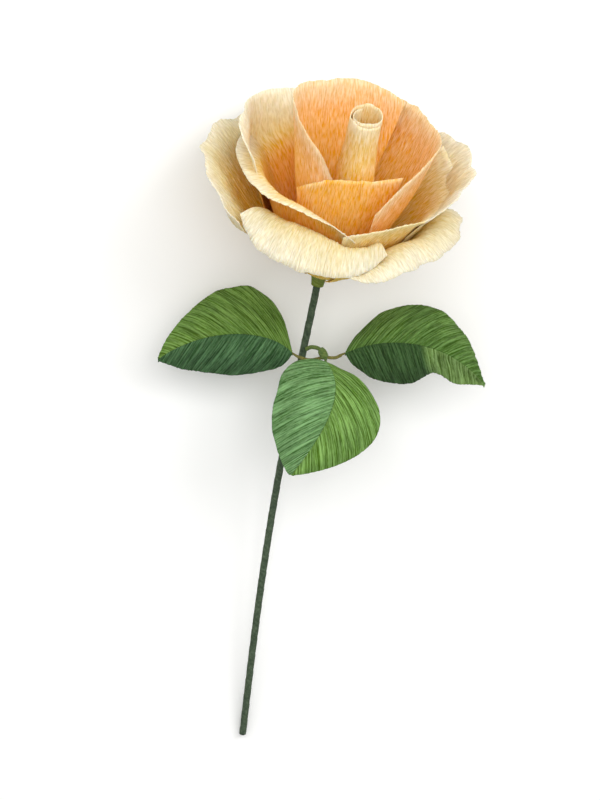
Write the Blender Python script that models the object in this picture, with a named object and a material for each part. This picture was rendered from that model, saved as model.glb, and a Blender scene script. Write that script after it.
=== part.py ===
"""A crepe paper rose with one branch of three leaves, lying on its back petals and its stem end.

Every sheet of paper is a net of points on its middle surface, thickened to the paper's thickness.
The rose is shaped in a standing frame: X to its right, Y up, Z to its front, calyx top at the origin.
At the end it is laid down on the three points that it rests on, with Z up and the stem along Y.
"""

import math

import bmesh
import bpy
import numpy as np
from mathutils import Matrix, Vector
from mathutils.bvhtree import BVHTree

MM = 0.001

# Paper and the clearances between pieces
PAPER = 0.5 * MM
CLEARANCE = 0.3 * MM
LAYER_PUSH = 1.4 * MM
PUSH_BACK_REACH = 14 * MM
FIRM_ROWS = 3
PUSH_ROUNDS = 14
CLEAR_ROUNDS = 8
SHEET_PITCH = PAPER + CLEARANCE + 0.05 * MM
PUSH_ANGLE = math.radians(45)
PUSH_REACH = 120 * MM
SMOOTHING_PASSES = 8

# How the bloom and the stem lean in the standing frame
BLOOM_LEAN = math.radians(11)
BLOOM_FORWARD = math.radians(35)
STEM_LEAN = math.radians(9.5)
STEM_FORWARD = math.radians(23)

# Stem
STEM_LENGTH = 246 * MM
WIRE_RADIUS = 1.0 * MM
ROUND_CLEARANCE = CLEARANCE + 0.1 * MM
WRAP_INSIDE = WIRE_RADIUS + ROUND_CLEARANCE
WRAP_RADIUS = 1.75 * MM
WIRE_PROUD = 0.5 * MM
WIRE_IN_BLOOM = 14 * MM
STEM_BOW = -3.5 * MM

# Bloom base
BINDING_RADIUS = 2.5 * MM
BINDING_TOP = 13 * MM
COLLAR_TOP = 1.6 * MM
COLLAR_FOOT = -4.2 * MM
BINDING_FOOT = COLLAR_TOP + CLEARANCE
COLLAR_TOP_RADIUS = 3.9 * MM
COLLAR_FOOT_RADIUS = 2.9 * MM
FIRST_SEAT_RADIUS = BINDING_RADIUS + ROUND_CLEARANCE + PAPER / 2
SEAT_STEP = 0.9 * MM
SEAT_HEIGHT = 6.0 * MM
SEAT_DROP = 0.5 * MM

# Centre roll
ROLL_TURNS = 1.6
ROLL_PITCH = 1.25 * MM
ROLL_FOOT = 10 * MM
ROLL_TOP = 88 * MM
ROLL_MOUTH_SLOPE = 0.2
ROLL_BELLY_RADIUS = 8.2 * MM
ROLL_MOUTH_RADIUS = 5.7 * MM
ROLL_LEAN = 7.4 * MM
ROLL_END = math.radians(62)

# Net sizes, in cells
PETAL_ACROSS = 12
PETAL_ALONG = 9
ROLL_AROUND = 28
ROLL_ALONG = 6
BLADE_ALONG = 11
BLADE_ACROSS = 4
TUBE_SIDES = 10
STEM_PIECES = 20
BRANCH_PIECES = 12

# Leaves
BRANCH_RADIUS = 1.0 * MM
PETIOLE_RADIUS = 0.8 * MM
JOINT_RADIUS = 2.1 * MM
JOINT_SHARE = 1.0
JOINT_ROUNDING = 0.4 * MM
RIB_POINTS = 5
SEAM_GAP = 0.6 * MM
RIB_RADIUS = 0.45 * MM
RIB_DEPTH = 1.35 * MM
MIDRIB_REACH = 0.86

# Petals from the innermost to the outermost. Angles are around the bloom axis from the front toward the
# right. Each profile runs belly, shoulder, rim, every point a radius and a height in millimetres: one in
# the middle of the petal and one at either side, the lower angle first.
PETALS = (
    {
        "name": "petal_inner_back_left", "layer": 0, "angle": 243, "spread": (70, 106), "colour": "peach",
        "low": ((15, 14), (28, 52), (34, 86)),
        "middle": ((13, 14), (22, 58), (26, 90)),
        "high": ((7, 16), (12, 38), (12.5, 60)),
        "cleft": 0.0, "roundness": 3.2, "curl": (5.0, 12), "wave": (0.8, 1.5, 0.2),
    },
    {
        "name": "petal_inner_front", "layer": 1, "angle": 8, "spread": (38, 64), "colour": "peach",
        "low": ((12, 12), (19, 32), (21, 52)),
        "middle": ((12, 12), (16, 40), (16, 63)),
        "high": ((14, 12), (25, 42), (30, 66.5)),
        "cleft": 0.0, "roundness": 1.8, "curl": (3.0, 8), "wave": (0.3, 1.0, 0.0),
    },
    {
        "name": "petal_inner_back_right", "layer": 2, "angle": 102, "spread": (52, 68), "colour": "peach",
        "low": ((20, 14), (31, 34), (34, 55)),
        "middle": ((20, 14), (34, 46), (41, 81)),
        "high": ((19, 14), (32, 50), (36, 79)),
        "cleft": 0.0, "roundness": 2.6, "curl": (5.0, 15), "wave": (0.8, 1.2, 0.5),
    },
    {
        "name": "petal_middle_left", "layer": 3, "angle": 307, "spread": (46, 71), "colour": "gold",
        "low": ((20, 14), (30, 34), (48, 53)),
        "middle": ((19, 14), (32, 42), (34, 58)),
        "high": ((18, 14), (33, 30), (38, 46)),
        "cleft": 0.0, "roundness": 3.6, "curl": (3.2, 120), "wave": (0.6, 1.3, 0.1),
    },
    {
        "name": "petal_middle_back_left", "layer": 4, "angle": 236, "spread": (42, 56), "colour": "gold",
        "low": ((24, 12), (34, 46), (41, 66)),
        "middle": ((25, 12), (34, 50), (41, 72)),
        "high": ((23, 12), (34, 40), (40, 62)),
        "cleft": 0.0, "roundness": 2.8, "curl": (8.0, 62), "wave": (1.0, 1.4, 0.3),
    },
    {
        "name": "petal_middle_right", "layer": 3, "angle": 64, "spread": (42, 54), "colour": "gold",
        "low": ((21, 14), (36, 30), (41, 47)),
        "middle": ((23, 14), (39, 36), (47, 57)),
        "high": ((24, 12), (38, 44), (48, 67)),
        "cleft": 0.0, "roundness": 2.6, "curl": (7.0, 40), "wave": (0.8, 1.2, 0.6),
    },
    {
        "name": "petal_outer_front", "layer": 4, "angle": 352, "spread": (32, 39), "colour": "cream",
        "low": ((27, 14), (30, 58), (53, 49)),
        "middle": ((26, 14), (25, 71), (56, 40)),
        "high": ((27, 14), (28, 62), (52, 49)),
        "cleft": 0.8, "roundness": 3.4, "curl": (8.0, 18), "wave": (1.0, 3.0, 0.4),
    },
    {
        "name": "petal_outer_right", "layer": 4, "angle": 96, "spread": (38, 42), "colour": "cream",
        "low": ((27, 12), (40, 46), (53, 60)),
        "middle": ((27, 12), (42, 56), (56, 70)),
        "high": ((27, 12), (40, 46), (49, 62)),
        "cleft": 0.0, "roundness": 2.8, "curl": (8.0, 24), "wave": (1.0, 2.0, 0.7),
    },
    {
        "name": "petal_outer_left", "layer": 5, "angle": 272, "spread": (37, 47), "colour": "cream",
        "low": ((27, 12), (46, 44), (57, 53)),
        "middle": ((28, 12), (46, 46), (60, 58)),
        "high": ((27, 14), (40, 44), (55, 52)),
        "cleft": 1.2, "roundness": 2.6, "curl": (9.0, 22), "wave": (1.2, 2.2, 0.2),
    },
    {
        "name": "petal_outer_front_right", "layer": 5, "angle": 54, "spread": (34, 40), "colour": "cream",
        "low": ((27, 14), (31, 54), (51, 45)),
        "middle": ((28, 14), (34, 62), (60, 46.5)),
        "high": ((28, 14), (38, 50), (54, 48)),
        "cleft": 1.2, "roundness": 3.2, "curl": (9.0, 14), "wave": (1.0, 2.6, 0.1),
    },
    {
        "name": "petal_outer_back_left", "layer": 6, "angle": 211, "spread": (34, 42), "colour": "cream",
        "low": ((28, 10), (44, 36), (54, 44)),
        "middle": ((30, 10), (48, 38), (58, 52)),
        "high": ((28, 10), (44, 36), (54, 44)),
        "cleft": 1.0, "roundness": 2.6, "curl": (9.0, 20), "wave": (0.5, 1.6, 0.3),
    },
    {
        "name": "petal_outer_back_right", "layer": 7, "angle": 149, "spread": (34, 42), "colour": "cream",
        "low": ((26, 10), (40, 36), (50, 44)),
        "middle": ((28, 10), (42, 38), (53, 52)),
        "high": ((26, 10), (40, 36), (50, 44)),
        "cleft": 1.0, "roundness": 2.6, "curl": (9.0, 20), "wave": (0.5, 1.6, 0.8),
    },
)

# Leaf edges and midribs as cubic curves in the standing frame, in millimetres
LEAVES = (
    {
        "name": "leaf_left", "base": (-12.5, -35.2, -10.5), "tip": (-75.6, -38.1, -15),
        "midrib": ((-22, -24, -6), (-52, -22, -2)),
        "upper": ((-20, 13, -22), (-58, 2, -22)),
        "lower": ((-20, -50, -20), (-58, -46, -20)),
        "puff": (3.0, 3.0), "dent": (0.0, 0.5),
        "names": ("upper", "lower"),
    },
    {
        "name": "leaf_right", "base": (12.4, -35.3, -9.5), "tip": (78.1, -50.5, -18),
        "midrib": ((30, -27, -2), (60, -28, 0)),
        "upper": ((26, -6, -18), (69, 2, -20)),
        "lower": ((22, -55, -18), (52, -49, -16)),
        "puff": (3.5, 2.5), "dent": (5.5, 0.70),
        "names": ("upper", "lower"),
    },
    {
        "name": "leaf_front", "base": (3.4, -39.5, -6.5), "tip": (-13, -92, 6),
        "midrib": ((12, -50, 6), (8, -66, 14)),
        "upper": ((-26, -29, -2), (-27, -80, 2)),
        "lower": ((24, -44, 0), (54, -84, 0)),
        "puff": (2.5, 3.0), "dent": (0.0, 0.5),
        "names": ("left", "right"),
    },
)

# Wires of the leaf branch in the standing frame, in millimetres
BRANCH_PATH = ((-6.0, -33.4, -11.6), (-3.2, -32.4, -9.8), (0.6, -33.6, -9.0), (3.0, -37.6, -8.2))
LEFT_PETIOLE_PATH = ((0.2, -37.6, -9.8), (-4.0, -38.4, -10.2), (-9.0, -37.2, -11.4))
RIGHT_PETIOLE_PATH = ((4.75, -37.3, -9.15), (7.6, -37.4, -10.0), (10.0, -36.4, -10.6))

COLOURS = {
    "peach": (0.93, 0.42, 0.14),
    "gold": (0.92, 0.56, 0.16),
    "cream": (0.94, 0.78, 0.46),
    "leaf": (0.14, 0.27, 0.07),
    "stem": (0.05, 0.12, 0.05),
    "collar": (0.14, 0.20, 0.03),
    "steel": (0.45, 0.45, 0.44),
    "tape": (0.10, 0.18, 0.06),
}
PAPER_ROUGHNESS = 0.9
STEEL_ROUGHNESS = 0.35


def lean_axes(lean, forward):
    """Right, up and front axes of something that leans to the right and forward."""
    right = Vector((math.cos(lean), -math.sin(lean), 0))
    up = Vector(
        (math.sin(lean) * math.cos(forward), math.cos(lean) * math.cos(forward), math.sin(forward))
    )
    return right, up, right.cross(up)


BLOOM_RIGHT, BLOOM_UP, BLOOM_FRONT = lean_axes(BLOOM_LEAN, BLOOM_FORWARD)
STEM_RIGHT, STEM_UP, STEM_FRONT = lean_axes(STEM_LEAN, STEM_FORWARD)


def bloom_point(radius, angle, height):
    """A point of the bloom from its distance to the axis, its angle and its height."""
    across = BLOOM_RIGHT * (radius * math.sin(angle)) + BLOOM_FRONT * (radius * math.cos(angle))
    return across + BLOOM_UP * height


def cubic(points, t):
    """A point on a cubic curve with four control points."""
    a, b, c, d = (Vector(p) for p in points)
    s = 1 - t
    return a * s**3 + b * (3 * s * s * t) + c * (3 * s * t * t) + d * t**3


def smooth_path(points, t):
    """A point on the smooth curve through a few points, t from 0 to 1."""
    count = len(points) - 1
    place = min(t * count, count - 1e-9)
    k = int(place)
    f = place - k
    ends = [Vector(points[min(max(k + i, 0), count)]) for i in (-1, 0, 1, 2)]
    a, b, c, d = ends
    return 0.5 * (2 * b + (c - a) * f + (2 * a - 5 * b + 4 * c - d) * f**2 + (3 * b - a - 3 * c + d) * f**3)


# Surfaces
def petal_profile(petal, u):
    """Seat, belly, shoulder and rim of a petal at a place across it, each a radius and a height."""
    side = petal["low"] if u < 0 else petal["high"]
    bend = abs(u) ** 2
    fall = abs(u) ** petal["roundness"]
    points = []
    for part in range(3):
        middle = petal["middle"][part]
        edge = side[part]
        blend = fall if part == 2 else bend
        points.append([(m + (e - m) * blend) * MM for m, e in zip(middle, edge)])
    points[2][1] -= petal["cleft"] * MM * math.exp(-((u / 0.12) ** 2))
    layer = petal["layer"]
    seat = [FIRST_SEAT_RADIUS + layer * SEAT_STEP, SEAT_HEIGHT - layer * SEAT_DROP]
    return [seat] + points


def petal_net_point(petal, u, v):
    """A point of a petal: u across from -1 to 1, v along from its seat to its rim."""
    seat, belly, shoulder, rim = petal_profile(petal, u)
    curl_radius, curl_turn = petal["curl"]
    curl_radius *= MM
    turn = math.radians(curl_turn) * (1 - 0.5 * abs(u) ** 3)
    length = math.hypot(rim[0] - belly[0], rim[1] - belly[1]) + belly[0]
    curl_share = min(0.4, abs(turn) * curl_radius / length)
    body = 1 - curl_share
    controls = [(p[0], p[1], 0) for p in (seat, belly, shoulder, rim)]
    if v <= body:
        place = cubic(controls, v / body)
        radius, height = place.x, place.y
    else:
        done = (v - body) / curl_share * turn
        ahead = (Vector(controls[3]) - Vector(controls[2])).normalized()
        out = Vector((ahead.y, -ahead.x, 0))
        place = Vector(controls[3]) + curl_radius * (math.sin(done) * ahead + (1 - math.cos(done)) * out)
        radius, height = place.x, place.y
    size, count, phase = petal["wave"]
    ripple = size * MM * math.sin(2 * math.pi * (count * u + phase)) * v**3
    seat_spread, rim_spread = petal["spread"]
    opened = v * (2 - v)
    spread = seat_spread + (rim_spread - seat_spread) * opened
    angle = math.radians(petal["angle"] + spread * u)
    return bloom_point(radius + ripple, angle, height + 0.6 * ripple)


def roll_net_point(u, v):
    """A point of the rolled centre: u along the roll from inside to outside, v from its foot to its mouth."""
    height = ROLL_FOOT + (ROLL_TOP - ROLL_FOOT) * v
    seat = FIRST_SEAT_RADIUS + CLEARANCE
    belly = seat + (ROLL_BELLY_RADIUS - seat) * math.sin(math.pi / 2 * min(1, v / 0.45))
    narrow = max(0.0, (v - 0.45) / 0.55)
    radius = belly + (ROLL_MOUTH_RADIUS - ROLL_BELLY_RADIUS) * narrow * narrow * (3 - 2 * narrow)
    angle = ROLL_END - 2 * math.pi * ROLL_TURNS * (1 - u)
    radius += ROLL_PITCH * ROLL_TURNS * u
    lean = ROLL_LEAN * math.sin(math.pi / 2 * min(1, v / 0.5)) ** 2
    edge = 1.6 * MM * math.sin(math.pi * u) * v**4
    cut = ROLL_MOUTH_SLOPE * radius * math.cos(angle) * v**4
    return bloom_point(radius, angle, height + edge - cut) + BLOOM_RIGHT * lean


def blade_point(leaf, half, s, t):
    """A point of half a leaf: s from base to tip, t from the midrib to the edge."""
    base, tip = leaf["base"], leaf["tip"]
    middle = cubic((base, *leaf["midrib"], tip), s)
    edge = cubic((base, *leaf[("upper", "lower")[half]], tip), s)
    size, where = leaf["dent"]
    if half == 1:
        edge.y += size * math.exp(-(((s - where) / 0.09) ** 2))
    across = edge - middle
    end_width = 1.2
    if across.length < end_width:
        sign = 1 if half == 0 else -1
        along = (Vector(tip) - Vector(base)).normalized()
        aside = Vector((0, 0, 1)).cross(along).normalized() * leaf_side(leaf) * sign
        across = across + aside * (end_width - across.length)
    start = SEAM_GAP / MM / 2 / across.length
    place = start + (1 - start) * t
    point = middle + across * place
    normal = Vector((0, 0, 1))
    point += normal * leaf["puff"][half] * math.sin(math.pi * t) * math.sin(math.pi * s)
    return point * MM


def leaf_side(leaf):
    """1 where the first half of a leaf lies to the left of its way from base to tip, else -1."""
    along = Vector(leaf["tip"]) - Vector(leaf["base"])
    out = Vector(leaf["upper"][0]) - Vector(leaf["base"])
    return 1 if along.x * out.y - along.y * out.x > 0 else -1


def net(columns, rows, place):
    """A grid of points with a function of two shares, as an array of rows and columns."""
    return np.array([[place(i / columns, j / rows)[:] for i in range(columns + 1)] for j in range(rows + 1)])


def net_faces(shape, first=0):
    """The four-cornered faces between the points of a net."""
    rows, columns = shape[0], shape[1]
    faces = []
    for j in range(rows - 1):
        for i in range(columns - 1):
            a = first + j * columns + i
            faces.append((a, a + 1, a + 1 + columns, a + columns))
    return faces


def push_outward(points, placed):
    """Moves the points of a net outward and down until it clears every sheet already placed."""
    corners = []
    faces = []
    for other in placed:
        faces += net_faces(other.shape, len(corners))
        corners += [Vector(p) for p in other.reshape(-1, 3)]
    tree = BVHTree.FromPolygons(corners, faces)
    rows, columns = points.shape[0], points.shape[1]
    ways = np.zeros_like(points)
    need = np.zeros((rows, columns))
    for j in range(rows):
        for i in range(columns):
            here = Vector(points[j, i])
            flat = here - BLOOM_UP * here.dot(BLOOM_UP)
            slope = PUSH_ANGLE * min(1, 1.4 * j / (rows - 1))
            way = flat.normalized() * math.cos(slope) - BLOOM_UP * math.sin(slope)
            ways[j, i] = way
            hit = tree.ray_cast(here + way * PUSH_REACH, -way, PUSH_REACH + LAYER_PUSH)
            if hit[0] is not None:
                room = SHEET_PITCH + (LAYER_PUSH - SHEET_PITCH) * min(1, 2 * j / (rows - 1))
                need[j, i] = max(0.0, PUSH_REACH - hit[3] + room)
    move = ease(need)
    for turn in range(PUSH_ROUNDS):
        pushed = points + ways * move[:, :, None]
        flat_points = [Vector(p) for p in pushed.reshape(-1, 3)]
        own = BVHTree.FromPolygons(flat_points, net_faces(pushed.shape))
        wanted = []
        if turn < PUSH_ROUNDS - CLEAR_ROUNDS:
            for there in corners:
                flat = there - BLOOM_UP * there.dot(BLOOM_UP)
                way = flat.normalized() * math.cos(PUSH_ANGLE) - BLOOM_UP * math.sin(PUSH_ANGLE)
                hit = own.ray_cast(there + way * LAYER_PUSH, -way, LAYER_PUSH + PUSH_BACK_REACH)
                if hit[0] is not None and hit[2] >= FIRM_ROWS * (columns - 1):
                    wanted.append((hit[2], 0.7 * hit[3]))
        for there in corners:
            near = own.find_nearest(there, SHEET_PITCH)
            if near[0] is not None:
                wanted.append((near[2], SHEET_PITCH - near[3]))
        for index, _ in own.overlap(tree):
            wanted.append((index, SHEET_PITCH))
        for index, more in wanted:
            j, i = divmod(index, columns - 1)
            block = (slice(j, j + 2), slice(i, i + 2))
            need[block] = np.maximum(need[block], move[block] + more)
        for k, here in enumerate(flat_points):
            near = tree.find_nearest(here, SHEET_PITCH)
            if near[0] is not None:
                j, i = divmod(k, columns)
                need[j, i] = max(need[j, i], move[j, i] + SHEET_PITCH - near[3])
        move = ease(need)
    return points + ways * move[:, :, None]


def ease(need):
    """Spreads a field of moves so that it changes softly and stays at least as large as needed."""
    move = need.copy()
    for _ in range(SMOOTHING_PASSES):
        wide = np.pad(move, 1, mode="edge")
        mean = (wide[:-2, 1:-1] + wide[2:, 1:-1] + wide[1:-1, :-2] + wide[1:-1, 2:]) / 4
        move = np.maximum(need, (move + mean) / 2)
    return move


def bloom_nets():
    """The roll and the petals as nets, each clear of the ones inside it."""
    nets = {"centre_roll": net(ROLL_AROUND, ROLL_ALONG, roll_net_point)}
    for petal in PETALS:
        points = net(PETAL_ACROSS, PETAL_ALONG, lambda a, b: petal_net_point(petal, 2 * a - 1, b))
        nets[petal["name"]] = push_outward(points, list(nets.values()))
    return nets


# Meshes
def material(name):
    made = bpy.data.materials.get(name)
    if made:
        return made
    made = bpy.data.materials.new(name)
    made.use_nodes = True
    shader = made.node_tree.nodes["Principled BSDF"]
    shader.inputs["Base Color"].default_value = (*COLOURS[name], 1)
    steel = name == "steel"
    shader.inputs["Roughness"].default_value = STEEL_ROUGHNESS if steel else PAPER_ROUGHNESS
    shader.inputs["Metallic"].default_value = 1.0 if steel else 0.0
    made.diffuse_color = (*COLOURS[name], 1)
    return made


def add_object(name, shape, colour):
    bmesh.ops.recalc_face_normals(shape, faces=shape.faces)
    mesh = bpy.data.meshes.new(name)
    shape.to_mesh(mesh)
    shape.free()
    mesh.shade_smooth()
    mesh.materials.append(material(colour))
    made = bpy.data.objects.new(name, mesh)
    bpy.context.scene.collection.objects.link(made)
    return made


def thicken(made, thickness, offset):
    solid = made.modifiers.new("thickness", "SOLIDIFY")
    solid.thickness = thickness
    solid.offset = offset
    solid.use_even_offset = False


def sheet(name, points, colour):
    """A paper sheet over a net of points."""
    rows, columns = points.shape[0], points.shape[1]
    shape = bmesh.new()
    bmesh.ops.create_grid(shape, x_segments=columns - 1, y_segments=rows - 1, size=1)
    shape.verts.ensure_lookup_table()
    for vertex in shape.verts:
        i = round((vertex.co.x + 1) / 2 * (columns - 1))
        j = round((vertex.co.y + 1) / 2 * (rows - 1))
        vertex.co = points[j, i]
    made = add_object(name, shape, colour)
    thicken(made, PAPER, 0)
    return made


def swept(name, path, pieces, radius, colour, wall=None, sides=TUBE_SIDES):
    """A round bar along a path, or a tube where a wall is given. Path and radius are functions of a share."""
    places = [path(k / pieces) for k in range(pieces + 1)]
    ways = []
    for k in range(pieces + 1):
        before = places[max(k - 1, 0)]
        after = places[min(k + 1, pieces)]
        ways.append((after - before).normalized())
    aside = ways[0].orthogonal().normalized()
    shape = bmesh.new()
    bmesh.ops.create_grid(shape, x_segments=sides, y_segments=pieces, size=1)
    frames = []
    for way in ways:
        aside = (aside - way * aside.dot(way)).normalized()
        frames.append((aside.copy(), way.cross(aside)))
    for vertex in shape.verts:
        i = round((vertex.co.x + 1) / 2 * sides)
        k = round((vertex.co.y + 1) / 2 * pieces)
        turn = 2 * math.pi * i / sides
        first, second = frames[k]
        reach = radius(k / pieces)
        vertex.co = places[k] + first * (reach * math.cos(turn)) + second * (reach * math.sin(turn))
    bmesh.ops.remove_doubles(shape, verts=shape.verts, dist=1e-6)
    if wall is None:
        rims = [edge for edge in shape.edges if edge.is_boundary]
        bmesh.ops.holes_fill(shape, edges=rims, sides=sides)
    made = add_object(name, shape, colour)
    if wall is not None:
        thicken(made, wall, -1)
    return made


# Stem and leaf branch
def stem_place(t):
    """A point of the stem's centre line, from its end at the foot to the top of its wire in the bloom."""
    total = STEM_LENGTH + WIRE_IN_BLOOM
    along = t * total - STEM_LENGTH
    soft = 12 * MM
    ease = soft * math.log1p(math.exp(along / soft)) if along < 20 * soft else along
    ease -= soft * math.log(2) * math.exp(-((along / soft) ** 2))
    bow = STEM_BOW * math.sin(math.pi * min(1, max(0, -along / STEM_LENGTH)))
    return STEM_UP * (along - ease) + BLOOM_UP * ease + STEM_RIGHT * bow


def stem_at(along):
    """A point of the stem's centre line from its distance above the calyx, negative below it."""
    return stem_place((along + STEM_LENGTH) / (STEM_LENGTH + WIRE_IN_BLOOM))


def rib_points(leaf):
    """Points of the wire under a leaf's seam."""
    points = []
    for k in range(RIB_POINTS):
        rib = cubic((leaf["base"], *leaf["midrib"], leaf["tip"]), MIDRIB_REACH * k / (RIB_POINTS - 1))
        points.append((rib.x, rib.y, rib.z - RIB_DEPTH / MM))
    return tuple(points)


def thinned(radius, past):
    """The radius of a leaf's wire, thinner once it is past its joint and under the leaf."""
    return radius + (RIB_RADIUS - radius) * min(1, max(0, past))


def build():
    for old in list(bpy.data.objects):
        bpy.data.objects.remove(old)

    made = []
    nets = bloom_nets()
    made.append(sheet("centre_roll", nets["centre_roll"], "peach"))
    for petal in PETALS:
        made.append(sheet(petal["name"], nets[petal["name"]], petal["colour"]))

    made.append(swept("stem_wire", stem_place, STEM_PIECES + 4, lambda t: WIRE_RADIUS, "steel"))
    foot = -STEM_LENGTH + WIRE_PROUD
    wrap_top = COLLAR_TOP - CLEARANCE
    made.append(
        swept(
            "stem_wrap",
            lambda t: stem_at(foot + (wrap_top - foot) * t),
            STEM_PIECES,
            lambda t: WRAP_RADIUS,
            "stem",
            WRAP_RADIUS - WRAP_INSIDE,
        )
    )
    collar_wall = COLLAR_FOOT_RADIUS - WRAP_RADIUS - ROUND_CLEARANCE
    made.append(
        swept(
            "calyx_collar",
            lambda t: stem_at(COLLAR_FOOT + (COLLAR_TOP - COLLAR_FOOT) * t),
            3,
            lambda t: COLLAR_FOOT_RADIUS + (COLLAR_TOP_RADIUS - COLLAR_FOOT_RADIUS) * t**1.5,
            "collar",
            collar_wall,
            sides=14,
        )
    )
    made.append(
        swept(
            "petal_binding",
            lambda t: stem_at(BINDING_FOOT + (BINDING_TOP - BINDING_FOOT) * t),
            3,
            lambda t: BINDING_RADIUS,
            "tape",
            BINDING_RADIUS - WRAP_INSIDE,
            sides=12,
        )
    )

    branch = BRANCH_PATH + rib_points(LEAVES[2])
    joint = len(BRANCH_PATH) - 1
    made.append(
        swept(
            "leaf_branch",
            lambda t: smooth_path(branch, t) * MM,
            BRANCH_PIECES + 8,
            lambda t: thinned(BRANCH_RADIUS, t * (len(branch) - 1) - joint),
            "tape",
            sides=8,
        )
    )
    made.append(
        swept(
            "leaf_joint_wrap",
            lambda t: smooth_path(branch, (joint - JOINT_SHARE * (1 - t)) / (len(branch) - 1)) * MM,
            4,
            lambda t: JOINT_RADIUS - JOINT_ROUNDING * (2 * t - 1) ** 2,
            "tape",
            JOINT_RADIUS - JOINT_ROUNDING - BRANCH_RADIUS - ROUND_CLEARANCE,
        )
    )
    for name, path, leaf in (
        ("petiole_left", LEFT_PETIOLE_PATH, LEAVES[0]),
        ("petiole_right", RIGHT_PETIOLE_PATH, LEAVES[1]),
    ):
        points = path + rib_points(leaf)
        last = len(path) - 1
        made.append(
            swept(
                name,
                lambda t: smooth_path(points, t) * MM,
                BRANCH_PIECES + 8,
                lambda t: thinned(PETIOLE_RADIUS, t * (len(points) - 1) - last),
                "tape",
                sides=8,
            )
        )

    for leaf in LEAVES:
        for half in range(2):
            points = net(BLADE_ALONG, BLADE_ACROSS, lambda a, b: blade_point(leaf, half, a, b))
            made.append(sheet(f"{leaf['name']}_{leaf['names'][half]}", points, "leaf"))

    return lay_down(made)


def lay_down(made):
    """Turns every piece about the calyx until the stem end and two petal rims touch the ground."""
    petals = [m for m in made if m.name.startswith("petal_outer_back")]
    wrap = next(m for m in made if m.name == "stem_wrap")
    turn = Matrix.Rotation(STEM_LEAN, 3, "Z")
    for _ in range(8):
        ends = []
        for piece in petals + [wrap]:
            ends.append(min((turn @ v.co for v in piece.data.vertices), key=lambda p: p.z))
        left, right, foot = ends
        normal = (right - left).cross(left - foot).normalized()
        if normal.z < 0:
            normal.negate()
        turn = normal.rotation_difference(Vector((0, 0, 1))).to_matrix() @ turn
        stem_way = turn @ STEM_UP
        turn = Matrix.Rotation(math.atan2(stem_way.x, stem_way.y), 3, "Z") @ turn
    reach = [turn @ v.co for piece in made for v in piece.data.vertices]
    low = Vector([min(p[k] for p in reach) for k in range(3)])
    high = Vector([max(p[k] for p in reach) for k in range(3)])
    shift = Vector((-(low.x + high.x) / 2, -(low.y + high.y) / 2, -low.z + PAPER / 2))
    whole = Matrix.Translation(shift) @ turn.to_4x4()
    for piece in made:
        piece.data.transform(whole)
    print("turned by", [round(math.degrees(a), 3) for a in turn.to_euler()])
    return turn, shift


POSE = build()
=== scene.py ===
import math

import bmesh
import bpy
import numpy as np
from mathutils import Euler, Matrix, Vector, noise
from mathutils.bvhtree import BVHTree


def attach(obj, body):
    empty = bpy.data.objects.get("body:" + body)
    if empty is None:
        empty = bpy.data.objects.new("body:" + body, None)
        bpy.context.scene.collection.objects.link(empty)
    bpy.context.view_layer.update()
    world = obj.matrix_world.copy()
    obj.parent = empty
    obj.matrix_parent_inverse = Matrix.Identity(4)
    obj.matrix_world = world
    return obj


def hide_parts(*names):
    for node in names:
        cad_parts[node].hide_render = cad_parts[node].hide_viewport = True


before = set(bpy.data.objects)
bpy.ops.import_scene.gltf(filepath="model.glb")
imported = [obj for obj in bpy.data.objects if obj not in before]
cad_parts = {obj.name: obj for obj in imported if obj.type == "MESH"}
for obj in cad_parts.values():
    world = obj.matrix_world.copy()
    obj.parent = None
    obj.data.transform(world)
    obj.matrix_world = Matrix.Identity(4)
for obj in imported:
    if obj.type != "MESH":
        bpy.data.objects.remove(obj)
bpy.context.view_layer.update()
print("frame loaded", len(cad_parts), "nodes")

mm = 0.001

# how the standing rose leans, and how it lies on the ground
bloomLean, bloomForward = math.radians(11), math.radians(35)
stemLean, stemForward = math.radians(9.5), math.radians(23)
layTurn = Euler((-0.27092919, -0.07926876, 0.14287107)).to_matrix()
layShift = Vector((-0.00822522, 0.07452137, 0.03761077))

paperLook = 0.34 * mm  # crepe with its crinkle pressed flat
paperCad, clearance = 0.5 * mm, 0.3 * mm
roundClearance = clearance + 0.1 * mm
sheetPitch = paperCad + clearance + 0.05 * mm
push = {"room": 1.4 * mm, "angle": math.radians(45), "reach": 120 * mm, "back": 14 * mm, "rounds": 14,
        "clearRounds": 8, "firmRows": 3, "passes": 8}
netSize = {"across": 12, "along": 9, "around": 28, "up": 6}

stem = {"length": 246 * mm, "wire": 1.0 * mm, "wrap": 1.75 * mm, "proud": 0.5 * mm, "inBloom": 14 * mm,
        "bow": -3.5 * mm, "softBend": 12 * mm}
bindingSize = {"radius": 2.5 * mm, "top": 13 * mm, "foot": 1.9 * mm}
collarSize = {"top": 1.6 * mm, "foot": -4.2 * mm, "topRadius": 3.9 * mm, "footRadius": 2.9 * mm}
seatRadius, seatStep = bindingSize["radius"] + roundClearance + paperCad / 2, 0.9 * mm
seatHeight, seatDrop = 6.0 * mm, 0.5 * mm
rollSize = {"turns": 1.6, "pitch": 1.25 * mm, "foot": 10 * mm, "top": 88 * mm, "slope": 0.2,
            "belly": 8.2 * mm, "mouth": 5.7 * mm, "lean": 7.4 * mm, "end": math.radians(62), "bellyBy": 0.45,
            "leanBy": 0.5, "edge": 1.6 * mm}
petalForm = {"cleftWidth": 0.12, "curlMost": 0.4, "rippleRise": 0.6}


def leanAxes(lean, forward):
    right = Vector((math.cos(lean), -math.sin(lean), 0))
    up = Vector((math.sin(lean) * math.cos(forward), math.cos(lean) * math.cos(forward), math.sin(forward)))
    return right, up, right.cross(up)


bloomRight, bloomUp, bloomFront = leanAxes(bloomLean, bloomForward)
stemRight, stemUp = leanAxes(stemLean, stemForward)[:2]


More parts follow.
